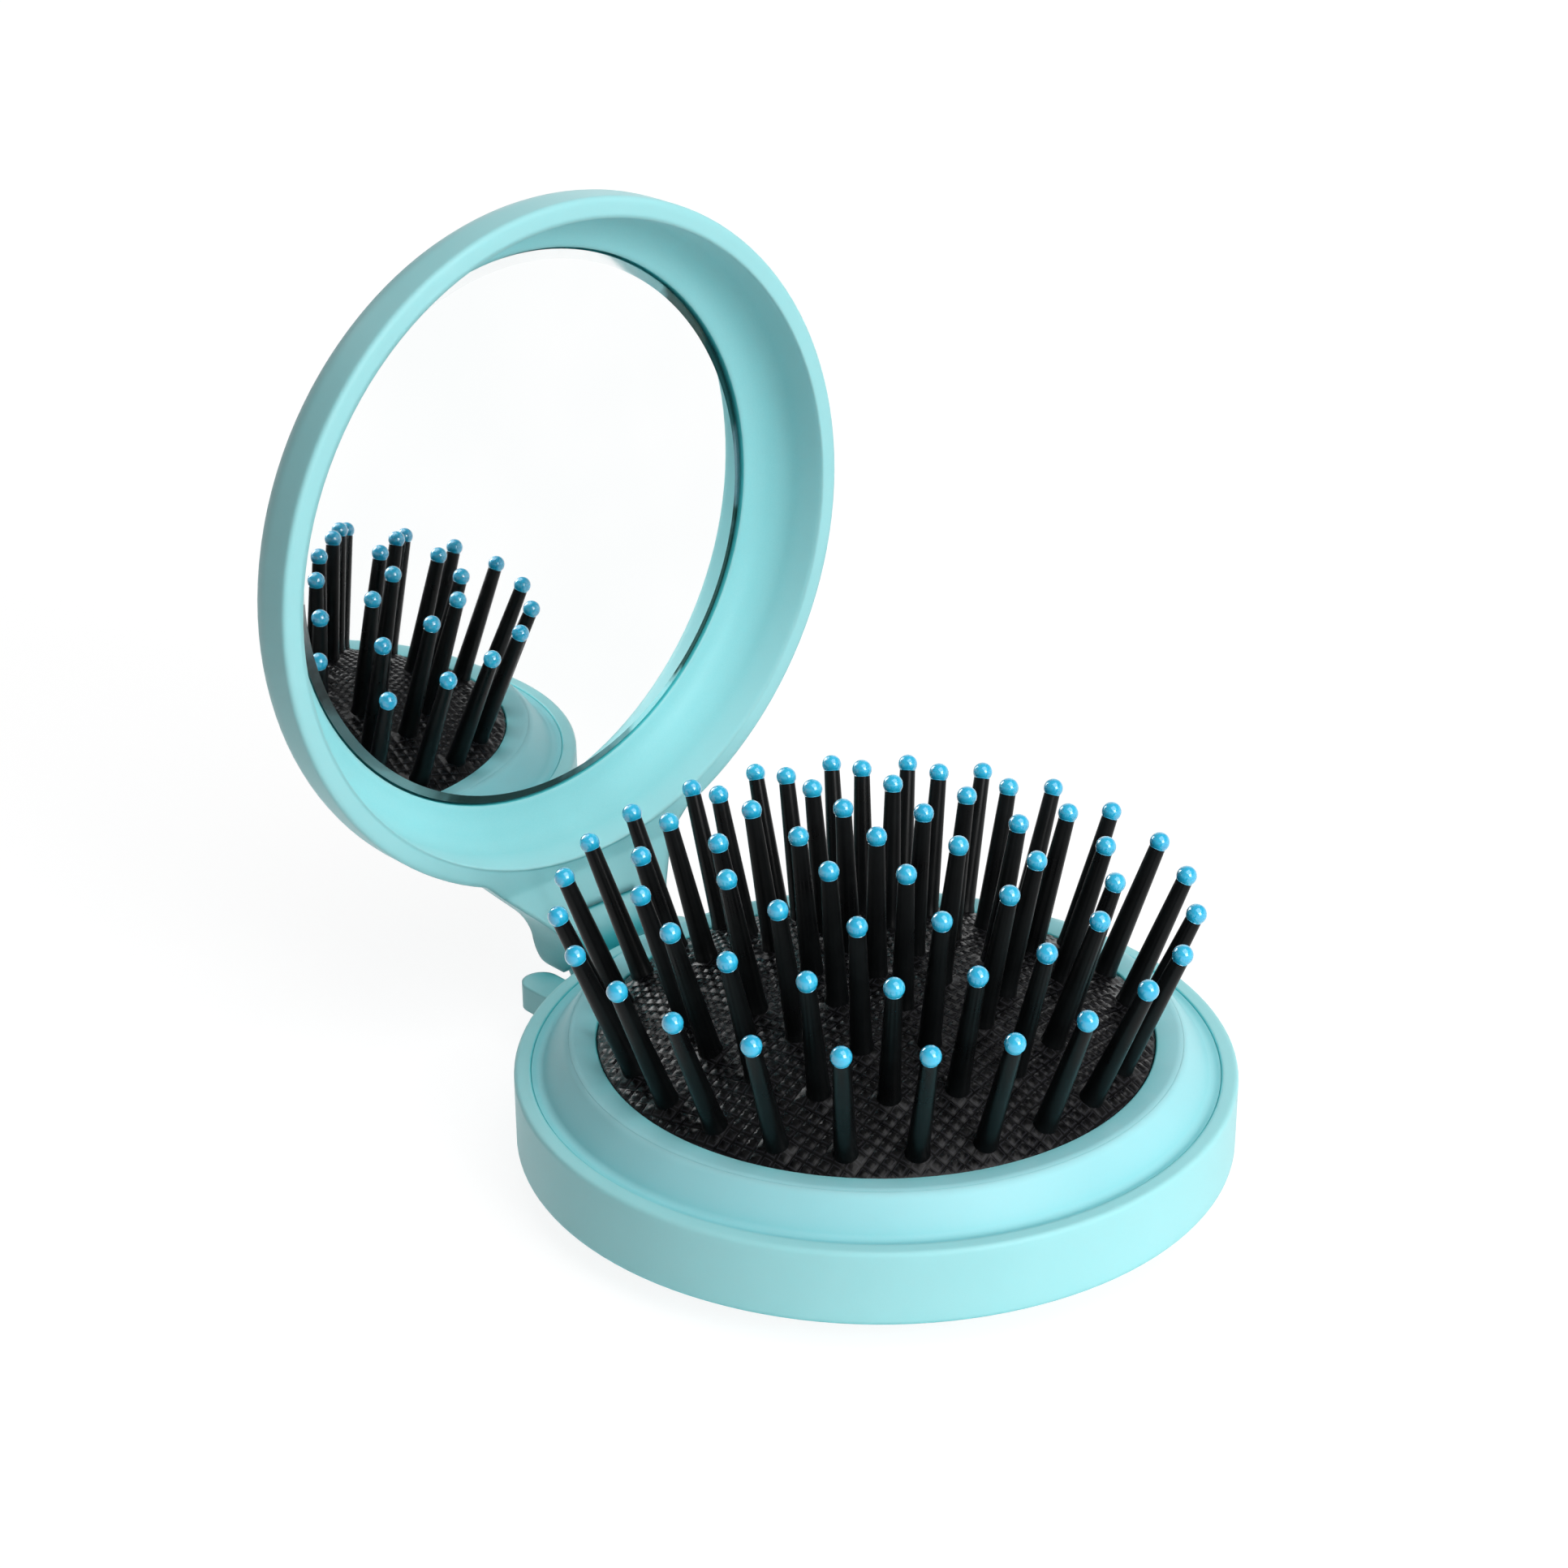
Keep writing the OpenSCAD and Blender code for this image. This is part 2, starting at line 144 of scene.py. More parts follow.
# corners (radius, height, cut) to a closed profile: each corner is cut back on both sides and bridged by the
# curve (1 - t)^2 * before + 2 t (1 - t) * corner + t^2 * after
def softened(corners, steps=8):
    table = np.array(corners, float)
    corner, size = table[:, :2], table[:, 2:]
    before, after = np.roll(corner, 1, axis=0) - corner, np.roll(corner, -1, axis=0) - corner
    before = corner + size * before / np.linalg.norm(before, axis=1, keepdims=True)
    after = corner + size * after / np.linalg.norm(after, axis=1, keepdims=True)
    t = np.linspace(0, 1, steps)[None, :, None]
    curve = (1 - t) ** 2 * before[:, None] + 2 * t * (1 - t) * corner[:, None] + t ** 2 * after[:, None]
    return np.vstack([curve.reshape(-1, 2), curve[0, :1]])


# unit vectors to the right, up and back from a direction given in degrees
def facing(turn, elevation, roll=0.0):
    a, e, r = (math.radians(x) for x in (turn, elevation, roll))
    right = Vector((math.cos(a), math.sin(a), 0))
    up = Vector((-math.sin(a) * math.sin(e), math.cos(a) * math.sin(e), math.cos(e)))
    back = Vector((math.sin(a) * math.cos(e), -math.cos(a) * math.cos(e), math.sin(e)))
    return math.cos(r) * right + math.sin(r) * up, math.cos(r) * up - math.sin(r) * right, back


# a camera or lamp that looks along these axes at a point, from so far back, both in mm
def placeFacing(name, data, aim, distance, axes):
    thing = bpy.data.objects.new(name, data)
    thing.matrix_world = (Matrix.Translation((Vector(aim) + distance * axes[2]) * mm)
                          @ Matrix(axes).transposed().to_4x4())
    scene.collection.objects.link(thing)
    return thing


cameraMake = {
    "turn": -42.88,           # degrees round the object, from straight before the lid towards its left
    "elevation": 25.1,        # degrees above the floor
    "roll": -0.377,           # degrees
    "aim": (3.136, 15.777, 32.235),  # mm, the point in the middle of the frame
    "distance": 321.0,        # mm from the aim
    "lens": 77.442,           # mm
    "sensor": 36,             # mm across
    "clip": (0.01, 20),       # metres
}


def makeCamera():
    m = cameraMake
    data = bpy.data.cameras.new("camera")
    data.lens, data.sensor_width = m["lens"], m["sensor"]
    data.clip_start, data.clip_end = m["clip"]
    axes = facing(m["turn"], m["elevation"], m["roll"])
    scene.camera = placeFacing("camera", data, m["aim"], m["distance"], axes)


# turn is in degrees from the camera's, distance and size in mm, and power is the share of plain white that
# the lamp gives a facing surface at the object
lampMake = [
    {"name": "keyLamp", "turn": 40, "elevation": 24, "distance": 700, "size": 340, "power": 0.555},
    {"name": "topLamp", "turn": 44, "elevation": 60, "distance": 800, "size": 700, "power": 0.50},
    {"name": "backLamp", "turn": -131, "elevation": 30, "distance": 700, "size": 95, "power": 0.04},
    {"name": "rearLamp", "turn": 176, "elevation": 26, "distance": 1000, "size": 900, "power": 0.16},
]
lampAim = (0, 10, 25)   # mm


def makeLamp(make):
    data = bpy.data.lights.new(make["name"], "AREA")
    data.size = make["size"] * mm
    data.energy = make["power"] * (math.pi * make["distance"] * mm) ** 2
    axes = facing(cameraMake["turn"] + make["turn"], make["elevation"])
    placeFacing(make["name"], data, lampAim, make["distance"], axes)


makeCamera()
for make in lampMake:
    makeLamp(make)


# 1 for a ray of one of these kinds that has met no matt surface on its way
def freshRays(tree, path, kinds):
    rays = path.outputs[kinds[0]]
    for kind in kinds[1:]:
        rays = addNode(tree, "Math", {0: rays, 1: path.outputs[kind]}, operation="MAXIMUM")
    fresh = addNode(tree, "Math", {0: path.outputs["Diffuse Depth"], 1: 0.5}, operation="LESS_THAN")
    return addNode(tree, "Math", {0: rays, 1: fresh}, operation="MULTIPLY")


worldMake = {
    "seen": 1.0,               # what the camera sees, 1 being white
    "fill": (0.0, 0.36),       # light from the side away from the window, and from the window's side
    "windowTurn": 70,          # degrees, as a lamp's turn
    "gloss": (1.0, 0.24),      # what a reflection sees near the horizon, and high up
    "glossHeight": (0.05, 0.45),  # sines of the elevations between which it falls
}


# the room: white where it is seen, and as light on the object brighter on the window's side
def makeRoom():
    m = worldMake
    world = bpy.data.worlds.new("studio")
    scene.world = world
    world.use_nodes = True
    tree = world.node_tree
    tree.nodes.clear()
    window = facing(cameraMake["turn"] + m["windowTurn"], 0)[2]
    direction = addNode(tree, "TexCoord").outputs["Generated"]
    side = addNode(tree, "VectorMath", {0: direction, 1: window}, operation="DOT_PRODUCT").outputs["Value"]
    fill = addNode(tree, "MapRange", {"Value": side, "From Min": -1.0, "From Max": 1.0,
                                      "To Min": m["fill"][0], "To Max": m["fill"][1]})
    height = addNode(tree, "SeparateXYZ", {0: direction}).outputs["Z"]
    gloss = addNode(tree, "MapRange", {
        "Value": height, "From Min": m["glossHeight"][0], "From Max": m["glossHeight"][1],
        "To Min": m["gloss"][0], "To Max": m["gloss"][1]})
    path = addNode(tree, "LightPath")
    direct = addNode(tree, "Math", {
        0: path.outputs["Is Camera Ray"], 1: path.outputs["Is Transmission Ray"]}, operation="MAXIMUM")
    lit = addNode(tree, "MixRGB", {0: freshRays(tree, path, ["Is Glossy Ray"]), 1: fill, 2: gloss})
    colour = addNode(tree, "MixRGB", {0: direct, 1: lit, 2: grey(m["seen"])})
    background = addNode(tree, "Background", {"Color": colour, "Strength": 1.0})
    addNode(tree, "OutputWorld", {"Surface": background})


makeRoom()

floorMake = {
    "half": 2500,               # mm, half of its side
    "matt": 0.2,                # its matt share, as the camera sees it
    "glow": (0.89, 1.0),        # what is added to that, beside the object and further out
    "far": (300, 1200),         # mm from the middle, between which the glow rises
    "bounce": (0.95, 0.12),     # what it throws back on the object, from beside it and from further out
    "near": (110, 300),         # mm from the middle, between which the bounce falls
}


# matt paper, bright enough to read as white round the object; it keeps the object's shadow, a mirror sees it
# white, and from below it is clear
def seamlessPaper():
    m = floorMake
    material, tree, place = newMaterial("paleSeamlessPaper")
    path = addNode(tree, "LightPath")
    away = addNode(tree, "VectorMath", {0: place}, operation="LENGTH").outputs["Value"]
    glow = addNode(tree, "MapRange", {
        "Value": away, "From Min": m["far"][0] * mm, "From Max": m["far"][1] * mm,
        "To Min": m["glow"][0], "To Max": m["glow"][1]})
    bounce = addNode(tree, "MapRange", {
        "Value": away, "From Min": m["near"][0] * mm, "From Max": m["near"][1] * mm,
        "To Min": m["bounce"][0], "To Max": m["bounce"][1]})
    matt = addNode(tree, "BsdfDiffuse", {"Color": grey(m["matt"])})
    glowing = addNode(tree, "Emission", {"Color": grey(1.0), "Strength": glow})
    shown = addNode(tree, "AddShader", {0: matt, 1: glowing})
    plain = addNode(tree, "BsdfDiffuse", {"Color": bounce})
    white = addNode(tree, "Emission", {"Color": grey(1.0), "Strength": 1.0})
    mirrored = freshRays(tree, path, ["Is Glossy Ray", "Is Transmission Ray"])
    paper = addNode(tree, "MixShader", {0: path.outputs["Is Camera Ray"], 1: plain, 2: shown})
    paper = addNode(tree, "MixShader", {0: mirrored, 1: paper, 2: white})
    below = addNode(tree, "NewGeometry").outputs["Backfacing"]
    clear = addNode(tree, "BsdfTransparent")
    addNode(tree, "OutputMaterial", {"Surface": addNode(tree, "MixShader", {0: below, 1: paper, 2: clear})})
    return material


half = floorMake["half"] * mm
corners = np.array([[-half, -half, 0], [half, -half, 0], [half, half, 0], [-half, half, 0]])
floor = makePiece("floor", corners, np.array([[0, 1, 2, 3]]))
floor.data.materials.append(seamlessPaper())
print("camera, lamps, room and floor made")


absMake = {
    "cloudScale": 90.0,         # per metre: clouds of about 11 mm
    "cloudDetail": 3.0,
    "cloud": (0.3, 0.7),        # noise at which colour and shine reach their two ends
    "shine": (0.34, 0.44),      # roughness at those ends
    # the painted hollow shade is full at the first openness, and gone at the second
    "open": (0.5, 0.9),         # openness at which a surface is fully in a hollow, and fully out of it
    "grain": 0.22,              # mm, pitch of the mould's texture
    "grainStrength": 0.6,
    "specular": 0.2,
    "under": 0.2,               # share of the light that passes under the skin
    "underReach": 0.9,          # mm that it passes
    "samples": 8,               # for hollows and corners
}


# ABS, injection moulded from a fine spark-eroded tool: an even pastel with a satin, slightly cloudy shine,
# and painted shade that deepens the colour in hollows of so many mm, where light would meet the plastic more
# than once.
# relief is the depth of the texture in mm, and edge the radius in mm by which corners are rounded, in the
# shading alone
def mouldedAbs(name, colour, shade, hollowPaintedShade="#5ed3d9", hollow=5.0, relief=0.006, edge=0.0):
    m = absMake
    material, tree, place = newMaterial(name)
    cloud = addNode(tree, "TexNoise", {
        "Vector": place, "Scale": m["cloudScale"], "Detail": m["cloudDetail"]})
    tint = addNode(tree, "ValToRGB", {"Fac": cloud}, [(m["cloud"][0], shade), (m["cloud"][1], colour)])
    around = addNode(tree, "AmbientOcclusion", {"Distance": hollow * mm}, samples=m["samples"])
    openness = addNode(tree, "MapRange", {"Value": around.outputs["AO"], "From Min": m["open"][0],
                                          "From Max": m["open"][1]})
    # painted shade: in hollows the colour turns to the deeper one
    tint = addNode(tree, "MixRGB", {0: openness, 1: linear(hollowPaintedShade), 2: tint})
    skin = addNode(tree, "TexNoise", {"Vector": place, "Scale": 1 / (m["grain"] * mm), "Detail": 2.0})
    satin = addNode(tree, "MapRange", {
        "Value": cloud, "From Min": m["cloud"][0], "From Max": m["cloud"][1],
        "To Min": m["shine"][0], "To Max": m["shine"][1]})
    bump = addNode(tree, "Bump", {"Height": skin, "Distance": relief * mm, "Strength": m["grainStrength"]})
    if edge:
        shadingLayer = addNode(tree, "Bevel", {"Radius": edge * mm}, samples=m["samples"])
        tree.links.new(shadingLayer.outputs[0], bump.inputs["Normal"])
    shader = addNode(tree, "BsdfPrincipled", {
        "Base Color": tint, "Roughness": satin, "IOR": 1.53, "Normal": bump,
        "Specular IOR Level": m["specular"], "Subsurface Weight": m["under"],
        "Subsurface Radius": (0.5, 1.0, 1.0), "Subsurface Scale": m["underReach"] * mm})
    addNode(tree, "OutputMaterial", {"Surface": shader})
    return material


# carbon steel wire, drawn through a die: fine lines along the pin and a grey shine
def drawnSteel():
    material, tree, place = newMaterial("drawnSteelWire")
    along = addNode(tree, "Mapping", {"Vector": place, "Scale": (60, 6000, 6000)})
    lines = addNode(tree, "TexNoise", {"Vector": along, "Scale": 1.0, "Detail": 2.0})
    tint = addNode(tree, "ValToRGB", {"Fac": lines}, [(0.3, "#a9abae"), (0.7, "#c4c6c9")])
    dull = addNode(tree, "MapRange", {"Value": lines, "To Min": 0.22, "To Max": 0.42})
    bump = addNode(tree, "Bump", {"Height": lines, "Distance": 0.004 * mm, "Strength": 0.5})
    shader = addNode(tree, "BsdfPrincipled", {"Base Color": tint, "Metallic": 1.0, "Roughness": dull,
                                              "Normal": bump})
    addNode(tree, "OutputMaterial", {"Surface": shader})
    return material


# closed-cell foam tape: off-white and matt, with cells of about 0.3 mm
def foamTape():
    material, tree, place = newMaterial("foamTape")
    cells = addNode(tree, "TexVoronoi", {"Vector": place, "Scale": 1 / (0.3 * mm)}).outputs["Distance"]
    tint = addNode(tree, "ValToRGB", {"Fac": cells}, [(0.1, "#dcdcd4"), (0.6, "#cbcbc2")])
    bump = addNode(tree, "Bump", {"Height": cells, "Distance": 0.04 * mm, "Strength": 0.7})
    shader = addNode(tree, "BsdfPrincipled", {"Base Color": tint, "Roughness": 0.9, "Normal": bump})
    addNode(tree, "OutputMaterial", {"Surface": shader})
    return material


aqua, aquaShade = "#a6e3e7", "#a2e0e4"
caseAbs = mouldedAbs("caseMouldedAbs", aqua, aquaShade, edge=0.5)
headAbs = mouldedAbs("headMouldedAbs", "#a5e2e9", "#a1dfe6")
# the lid's cove gets a deeper painted shade, over a reach of 7 mm
lidAbs = mouldedAbs("lidMouldedAbs", aqua, aquaShade, hollowPaintedShade="#4fc9cf", hollow=7.0, edge=0.9)
buttonAbs = mouldedAbs("buttonMouldedAbs", "#a6e4e9", "#a2e1e6", relief=0.01)
for name, material in (("case_ring", caseAbs), ("case_floor", caseAbs), ("cushion_tray", caseAbs),
                       ("lid_shell", lidAbs), ("push_button", buttonAbs), ("hinge_pin", drawnSteel()),
                       ("mirror_adhesive", foamTape())):
    dressNode(name, material)
print("solids dressed")


# a corner is its radius and height in mm; a hidden corner also has the length cut back from it
headMake = {
    "segments": 288,
    "steps": 14,               # points to a seen corner
    "edge": (32.37, 10.22),    # the head ring's outer top corner, a hair inside the case rim
    "edgeCut": 0.1,            # mm, as the other cuts
    "foot": (31.5, 9.95),      # where the slope would meet the valley beside the case rim
    "footCut": 0.6,
    "crest": (28.93, 13.434),  # where slope and bevel would meet
    "crestCut": 0.8,
    "opening": (26.2, 13.07),  # the bezel's inner top corner
    "openingCut": 0.22,
    "seam": (28.785, 28.8),    # radii of bezel and head ring on either side of the hairline
    "ringHidden": [(28.8, 11.547, 0.1), (29.5, 11.547, 0.1), (29.5, 6.403, 0.15), (30.7, 6.403, 0.15),
                   (30.7, 7.44, 0.2), (32.8, 7.44, 0.15), (32.8, 8.64, 0.15), (32.37, 8.64, 0)],
    "bezelHidden": [(26.2, 12.22, 0.05), (27.3, 12.22, 0.1), (27.3, 10.147, 0.15), (29.3, 10.147, 0.15),
                    (29.3, 11.247, 0.15), (28.6, 11.247, 0.15), (28.6, 12.2, 0.1), (28.785, 12.4, 0.1)],
    "sharp": 40,               # degrees
}


# the seen line from the case rim over the crest to the opening; the hidden corners only lead in and out
def headLine():
    m = headMake
    line = softened([m["ringHidden"][-1], (*m["edge"], m["edgeCut"]), (*m["foot"], m["footCut"]),
                     (*m["crest"], m["crestCut"]), (*m["opening"], m["openingCut"]), m["bezelHidden"][0]],
                    m["steps"])
    return line[m["steps"]:-m["steps"] - 1]


# both rings share the seen line, which the seam divides
def makeHead():
    m = headMake
    line = headLine()
    seamIn, seamOut = m["seam"]
    seamHeights = np.interp([-seamIn, -seamOut], -line[:, 0], line[:, 1])
    outer, inner = line[line[:, 0] > seamOut], line[line[:, 0] < seamIn]
    ring, bezel = softened(m["ringHidden"])[:-1], softened(m["bezelHidden"])[:-1]
    headProfile = np.vstack([ring, outer, [[seamOut, seamHeights[1]]], ring[:1]])
    bezelProfile = np.vstack([bezel, [[seamIn, seamHeights[0]]], inner, bezel[:1]])
    for name, profile, body, node in (("headRing", headProfile, "head", "head_ring"),
                                      ("bezelRing", bezelProfile, "carrier", "cushion_bezel")):
        points, quads = turned(profile, np.zeros(3), np.array([0, 0, 1.0]), m["segments"])
        piece = makePiece(name, points * mm, quads, m["sharp"])
        piece.data.materials.append(headAbs)
        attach(piece, body)
        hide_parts(node)


makeHead()
print("head ring and bezel made")

bristleMake = {
    "root": -0.8,           # mm below the rubber's surface
    "length": 13.53,        # to the underside of the ball
    "rootRadius": 1.1,
    "topRadius": 0.78,
    "footRadius": 0.1,      # extra radius where the moulded foot leaves the rubber
    "footHeight": 0.6,
    "footRows": (2.0, 8),   # height up to which the rows are close, and their number
    "shaftRows": (3.5, 5),  # height from which they are wide, and their number
    "segments": 20,
    "sharp": 50,            # degrees, for the balls too
}
ballMake = {
    "radius": 0.96,         # mm
    "centre": 14.1,         # above the rubber's surface
    "segments": 28,
    "rows": 16,
    "neck": 0.05,           # height of the low neck that wets the shaft
    "neckFlare": (0.005, 0.02),  # its extra radius below, and half way up
}
crownMake = {
    "radius": 60.0,         # mm, of the sphere that the bristles stand on
    "centreZ": -40.91,
    "step": 6.0,            # from ring to ring
    "rings": 4,             # round the one in the centre, with 6 more bristles in each
    "turn": 9.3,            # degrees
    "pinch": 0.45,          # mm by which the outermost tips lean in, along the pinch's direction only
    "pinchTurn": -42.9,     # degrees, that direction
    "scatter": 0.2,         # mm, how unevenly the tips stand
    "seed": 5,
}


# feet and directions of the bristles of one ring, on the crown's sphere: a tip is straight out from its
# foot, less pinch * (the foot's place along the pinch's direction / the outermost ring's radius), and then
# scattered
def bristlePlaces(ring):
    m = crownMake
    count = max(1, 6 * ring)
    a = math.radians(m["turn"]) + np.arange(count) * 2 * math.pi / count
    t = math.asin(ring * m["step"] / m["radius"])
    axes = np.stack([math.sin(t) * np.cos(a), math.sin(t) * np.sin(a), np.full(count, math.cos(t))], axis=1)
    feet = np.array([0, 0, m["centreZ"]]) + m["radius"] * axes
    pinch = math.radians(m["pinchTurn"])
    along = np.array([math.cos(pinch), math.sin(pinch), 0])
    place = feet @ along / (m["rings"] * m["step"])
    dice = np.random.default_rng(m["seed"] + ring)
    uneven = dice.uniform(-m["scatter"], m["scatter"], (count, 3)) * [1, 1, 0]
    tips = axes * ballMake["centre"] - m["pinch"] * place[:, None] * along + uneven
    return feet, tips / np.linalg.norm(tips, axis=1, keepdims=True)


# radius(s) = cone + foot * exp(-(s / height)^2), s along the bristle from the rubber's surface
def bristleProfile():
    m = bristleMake
    (close, closeRows), (wide, wideRows) = m["footRows"], m["shaftRows"]
    s = np.concatenate([[m["root"]], np.linspace(0, close, closeRows),
                        np.linspace(wide, m["length"], wideRows)])
    cone = m["rootRadius"] + (m["topRadius"] - m["rootRadius"]) * (s - m["root"]) / (m["length"] - m["root"])
    radius = cone + m["footRadius"] * np.exp(-(np.maximum(s, 0) / m["footHeight"]) ** 2)
    return np.vstack([[0, s[0]], np.stack([radius, s], axis=1), [0, s[-1]]])


# a sphere cut where the shaft enters it, with a low neck
def ballProfile():
    m = ballMake
    under = math.pi - math.asin(bristleMake["topRadius"] / m["radius"])
    t = np.linspace(under, 0, m["rows"])
    ball = np.stack([m["radius"] * np.sin(t), m["centre"] + m["radius"] * np.cos(t)], axis=1)
    low, half = m["neckFlare"]
    neck = ball[0] + np.array([[-ball[0, 0], -m["neck"]], [low, -m["neck"]], [half, -m["neck"] / 2]])
    return np.vstack([neck, ball])


# nylon, moulded in one go with its root: deep black with a faint grey bloom and a semi-gloss
def blackNylon():
    material, tree, place = newMaterial("blackMouldedNylon")
    bloom = addNode(tree, "TexNoise", {"Vector": place, "Scale": 260.0, "Detail": 3.0})   # about 4 mm
    tint = addNode(tree, "ValToRGB", {"Fac": bloom}, [(0.3, "#08090a"), (0.75, "#0f1213")])
    dull = addNode(tree, "MapRange", {"Value": bloom, "From Min": 0.3, "From Max": 0.7,
                                      "To Min": 0.26, "To Max": 0.36})
    shader = addNode(tree, "BsdfPrincipled", {"Base Color": tint, "Roughness": dull, "IOR": 1.53,
                                              "Specular IOR Level": 0.14})
    addNode(tree, "OutputMaterial", {"Surface": shader})
    return material


# epoxy dip on each tip: bright blue, glossy, with a trace of cloudiness in the resin
def blueEpoxy():
    material, tree, place = newMaterial("blueEpoxyDip")
    cloud = addNode(tree, "TexNoise", {"Vector": place, "Scale": 420.0, "Detail": 2.0})   # about 2 mm
    tint = addNode(tree, "ValToRGB", {"Fac": cloud}, [(0.3, "#1fbbe9"), (0.7, "#33c8f0")])
    shader = addNode(tree, "BsdfPrincipled", {
        "Base Color": tint, "Roughness": 0.2, "IOR": 1.5, "Specular IOR Level": 0.2, "Coat Weight": 1.0,
        "Coat Roughness": 0.03, "Coat IOR": 1.8,
        "Subsurface Weight": 0.15, "Subsurface Radius": (0.3, 0.8, 1.0), "Subsurface Scale": 0.6 * mm})
    addNode(tree, "OutputMaterial", {"Surface": shader})
    return material


def makeBristles(ring, nylon, epoxy):
    feet, axes = bristlePlaces(ring)
    body = "bristle_ring_%d" % ring if ring else "bristle_centre"
    for what, profile, segments, surface, node, slotName in (
            ("bristles", bristleProfile(), bristleMake["segments"], nylon,
             "bristles_ring_%d" % ring if ring else "bristle_centre", "bristle_nylon"),
            ("ballTips", ballProfile(), ballMake["segments"], epoxy,
             "ball_tips_ring_%d" % ring if ring else "ball_tip_centre", "ball_tip")):
        points, quads = turned(profile, feet, axes, segments)
        piece = makePiece(what + (str(ring) if ring else "Centre"), points * mm, quads, bristleMake["sharp"])
        piece.data.materials.append(surface)
        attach(piece, body)
        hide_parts(node)


nylon, epoxy = blackNylon(), blueEpoxy()
for ring in range(crownMake["rings"] + 1):
    makeBristles(ring, nylon, epoxy)
print("bristles and ball tips made")


cushionMake = {
    "edgeRadius": 26.17,    # mm
    "edgeRound": 0.4,       # width over which the edge turns down
    "edgeDrop": 0.2,
    "edgeMargin": 0.02,     # how near the edge a point of the net is drawn out to it
    "bottomZ": 11.42,       # underside of the clamped flange
    "flangeRadius": 27.27,
    "flangeTopZ": 12.2,
    "innerRadius": 25.0,    # where the underside leaves the flange
    "underRings": (18.0, 9.0, 0.0),  # radii of the underside's other rings
    "thickness": 1.4,
    "tile": 1.15,           # pitch of the embossed net
    "netTurn": 11.0,        # degrees
    "relief": 0.17,         # depth of a groove
    "groove": (0.03, 0.28),  # half width of a groove at its bottom and at its top, in tiles
    "collarHeight": 0.22,   # rubber that rises round each bristle
    "collarRadius": 1.4,
    "collarFade": 1.6,      # how far the net stops short of a collar, as a share of the collar's height
    "sharp": 28,            # degrees
}


# height(x, y) = sphere - rounded edge - grooves + collars; a groove's side is a straight ramp
def cushionHeight(x, y, u, v):
    m = cushionMake
    r = np.hypot(x, y)
    z = crownMake["centreZ"] + np.sqrt(crownMake["radius"] ** 2 - r ** 2)
    out = np.clip((r - m["edgeRadius"] + m["edgeRound"]) / m["edgeRound"], 0, 1)
    z = z - m["edgeDrop"] * out ** 2
    low, high = m["groove"]
    wide = [np.clip((0.5 - np.abs(q - np.round(q)) - low) / (high - low), 0, 1)
            for q in (u / m["tile"], v / m["tile"])]
    feet = np.vstack([bristlePlaces(k)[0] for k in range(crownMake["rings"] + 1)])[:, :2]
    d2 = (x[:, None] - feet[:, 0]) ** 2 + (y[:, None] - feet[:, 1]) ** 2
    collar = np.exp(-(d2 / m["collarRadius"] ** 2) ** 1.5).sum(axis=1)
    fade = 1 - np.clip(collar * m["collarFade"], 0, 1)
    tiles = m["relief"] * (np.minimum(wide[0], wide[1]) - 1)
    return z + fade * (1 - out) * tiles + m["collarHeight"] * collar


# the underside is a sphere about the same centre, less the rubber's thickness
def undersideHeight(radius):
    inner = crownMake["radius"] - cushionMake["thickness"]
    return crownMake["centreZ"] + math.sqrt(inner ** 2 - radius ** 2)


# a square grid with its lines at each groove's bottom, each tile's edges and each tile's middle, cut round;
# u and v run along the net, x and y are turned back from it
def makeCushion():
    m = cushionMake
    low, high = m["groove"]
    inTile = np.array([low - 0.5, high - 0.5, 0, 0.5 - high, 0.5 - low])
    count = int(m["edgeRadius"] / m["tile"]) + 2
    line = (np.arange(-count, count + 1)[:, None] + inTile).ravel() * m["tile"]
    u, v = np.meshgrid(line, line, indexing="ij")
    r = np.hypot(u, v)
    inside = r < m["edgeRadius"] - m["edgeMargin"]
    quads = gridQuads(len(line), len(line), False)
    quads = quads[inside.ravel()[quads].any(axis=1)]
    pull = np.where(inside, 1, m["edgeRadius"] / np.maximum(r, 1e-9))
    u, v = (u * pull).ravel(), (v * pull).ravel()
    used, quads = np.unique(quads, return_inverse=True)
    quads = quads.reshape(-1, 4)
    u, v, rim = u[used], v[used], ~inside.ravel()[used]
    t = math.radians(m["netTurn"])
    x, y = u * math.cos(t) - v * math.sin(t), u * math.sin(t) + v * math.cos(t)
    top = np.stack([x, y, cushionHeight(x, y, u, v)], axis=1)
    # the rim's points in order of angle carry the flange and the underside, ring by ring
    rimIndex = np.flatnonzero(rim)
    angle = np.arctan2(y[rimIndex], x[rimIndex])
    order = rimIndex[np.argsort(angle)]
    angle = np.sort(angle)
    rings = [(m["edgeRadius"], m["flangeTopZ"]), (m["flangeRadius"], m["flangeTopZ"]),
             (m["flangeRadius"], m["bottomZ"]), (m["innerRadius"], m["bottomZ"])]
    rings += [(radius, undersideHeight(radius)) for radius in (m["innerRadius"], *m["underRings"])]
    lower = np.concatenate([np.stack([radius * np.cos(angle), radius * np.sin(angle),
                                      np.full(len(angle), z)], axis=1) for radius, z in rings])
    rows = np.concatenate([order, len(top) + np.arange(len(lower))])
    ringQuads = rows[gridQuads(len(rings) + 1, len(order), True)]
    points = np.vstack([top, lower]) * mm
    return makePiece("cushionRubber", points, np.vstack([quads, ringQuads]), m["sharp"])
